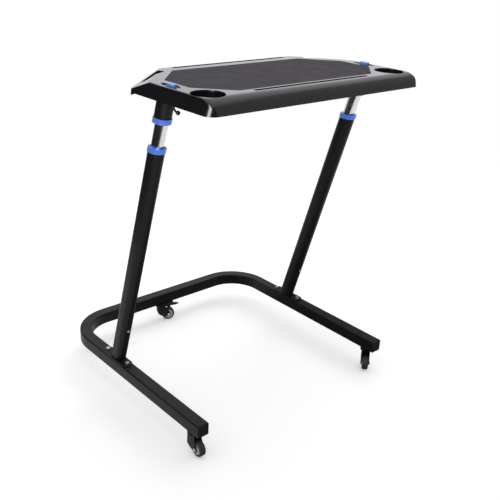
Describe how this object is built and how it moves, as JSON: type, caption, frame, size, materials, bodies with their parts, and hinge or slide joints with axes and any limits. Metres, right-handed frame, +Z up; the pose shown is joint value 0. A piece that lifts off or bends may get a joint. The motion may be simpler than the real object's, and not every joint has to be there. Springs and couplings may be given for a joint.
{
  "type": "bike trainer desk",
  "caption": "Height-adjustable desk on casters for a rider on a bicycle trainer: a U base of square tube, two leaning telescopic legs and a moulded desktop with cup holders and device slots.",
  "frame": {"origin": "on the floor, under the middle of the overall width and depth", "axes": "+Z up, +X to the right of a rider who faces the desk, -Y towards the rider, +Y towards the crossbar"},
  "size_m": [0.8, 0.777, 1.0365],
  "materials": {
    "black_paint": "satin",
    "shell_plastic": "satin",
    "black_plastic": "matt",
    "mat_pad": "textured",
    "bright_chrome": "polished",
    "zinc_steel": "zinc plated",
    "blue_plastic": "satin",
    "button_blue": "satin",
    "hub_grey": "satin",
    "tyre_black": "satin"
  },
  "bodies": {
    "base": {"base_frame": "black_paint", "arm_end_cap_left": "black_plastic", "foot_plate_left": "black_paint", "outer_tube_left": "black_paint", "leg_screw_left": "zinc_steel", "lower_collar_left": "blue_plastic", "arm_end_cap_right": "black_plastic", "foot_plate_right": "black_paint", "outer_tube_right": "black_paint", "leg_screw_right": "zinc_steel", "lower_collar_right": "blue_plastic", "foot_bolt_left_front": "zinc_steel", "foot_bolt_left_back": "zinc_steel", "foot_bolt_right_front": "zinc_steel", "foot_bolt_right_back": "zinc_steel", "caster_mount_front_left": "black_paint", "caster_mount_front_right": "black_paint", "caster_mount_rear": "black_paint"},
    "desk": {"desktop": "shell_plastic", "desk_underpan": "black_plastic", "desk_mat": "mat_pad", "upper_collar_left": "blue_plastic", "upper_socket_left": "black_plastic", "inner_tube_left": "bright_chrome", "glide_block_left": "black_plastic", "towel_hook_left": "black_plastic", "button_spring_left": "zinc_steel", "shoe_spring_left": "zinc_steel", "upper_collar_right": "blue_plastic", "upper_socket_right": "black_plastic", "inner_tube_right": "bright_chrome", "glide_block_right": "black_plastic", "towel_hook_right": "black_plastic", "button_spring_right": "zinc_steel", "shoe_spring_right": "zinc_steel", "socket_screw_left_front": "zinc_steel", "socket_screw_left_back": "zinc_steel", "socket_screw_right_front": "zinc_steel", "socket_screw_right_back": "zinc_steel"},
    "release_left": {"release_button_left": "button_blue", "release_rod_left": "zinc_steel"},
    "lock_left": {"lock_shoe_left": "zinc_steel"},
    "release_right": {"release_button_right": "button_blue", "release_rod_right": "zinc_steel"},
    "lock_right": {"lock_shoe_right": "zinc_steel"},
    "swivel_front_left": {"caster_fork_front_left": "black_plastic", "caster_axle_front_left": "zinc_steel"},
    "wheel_front_left": {"caster_hub_front_left": "hub_grey", "caster_tyre_front_left": "tyre_black"},
    "swivel_front_right": {"caster_fork_front_right": "black_plastic", "caster_axle_front_right": "zinc_steel"},
    "wheel_front_right": {"caster_hub_front_right": "hub_grey", "caster_tyre_front_right": "tyre_black"},
    "swivel_rear": {"caster_fork_rear": "black_plastic", "caster_axle_rear": "zinc_steel", "brake_pin": "zinc_steel"},
    "wheel_rear": {"caster_hub_rear": "hub_grey", "caster_tyre_rear": "tyre_black"},
    "pedal": {"brake_pedal": "black_plastic"}
  },
  "joints": [
    {"name": "desk_height", "type": "slide", "parent": "base", "child": "desk", "axis": [0, -0.2812, 0.9597], "range_m": [-0.06, 0.2]},
    {"name": "button_press_left", "type": "slide", "parent": "desk", "child": "release_left", "axis": [0, 0.2812, -0.9597], "range_m": [0, 0.005], "stiffness_N_per_m": 800, "springref_m": -0.004, "deforming": ["button_spring_left"]},
    {"name": "lock_draw_left", "type": "slide", "parent": "desk", "child": "lock_left", "axis": [0, -0.9597, -0.2812], "range_m": [0, 0.0025], "stiffness_N_per_m": 400, "springref_m": -0.003, "deforming": ["shoe_spring_left"]},
    {"name": "button_press_right", "type": "slide", "parent": "desk", "child": "release_right", "axis": [0, 0.2812, -0.9597], "range_m": [0, 0.005], "stiffness_N_per_m": 800, "springref_m": -0.004, "deforming": ["button_spring_right"]},
    {"name": "lock_draw_right", "type": "slide", "parent": "desk", "child": "lock_right", "axis": [0, -0.9597, -0.2812], "range_m": [0, 0.0025], "stiffness_N_per_m": 400, "springref_m": -0.003, "deforming": ["shoe_spring_right"]},
    {"name": "swivel_turn_front_left", "type": "hinge", "parent": "base", "child": "swivel_front_left", "pos_m": [-0.38, -0.3295, 0.0715], "axis": [0, 0, 1], "continuous": true},
    {"name": "wheel_roll_front_left", "type": "hinge", "parent": "swivel_front_left", "child": "wheel_front_left", "pos_m": [-0.38084, -0.35348, 0.024], "axis": [0.9994, -0.0349, 0], "continuous": true},
    {"name": "swivel_turn_front_right", "type": "hinge", "parent": "base", "child": "swivel_front_right", "pos_m": [0.38, -0.3295, 0.0715], "axis": [0, 0, 1], "continuous": true},
    {"name": "wheel_roll_front_right", "type": "hinge", "parent": "swivel_front_right", "child": "wheel_front_right", "pos_m": [0.36217, -0.34556, 0.024], "axis": [0.6691, -0.7431, 0], "continuous": true},
    {"name": "swivel_turn_rear", "type": "hinge", "parent": "base", "child": "swivel_rear", "pos_m": [0, 0.3685, 0.0715], "axis": [0, 0, 1], "continuous": true},
    {"name": "wheel_roll_rear", "type": "hinge", "parent": "swivel_rear", "child": "wheel_rear", "pos_m": [0.02225, 0.35951, 0.024], "axis": [0.3746, 0.9272, 0], "continuous": true},
    {"name": "pedal_press", "type": "hinge", "parent": "swivel_rear", "child": "pedal", "pos_m": [0.01391, 0.36288, 0.057], "axis": [0.3746, 0.9272, 0], "range_deg": [0, 8]}
  ],
  "couplings": [
    {"joint": "lock_draw_left", "follows": "button_press_left", "ratio": 0.5},
    {"joint": "lock_draw_right", "follows": "button_press_right", "ratio": 0.5}
  ]
}
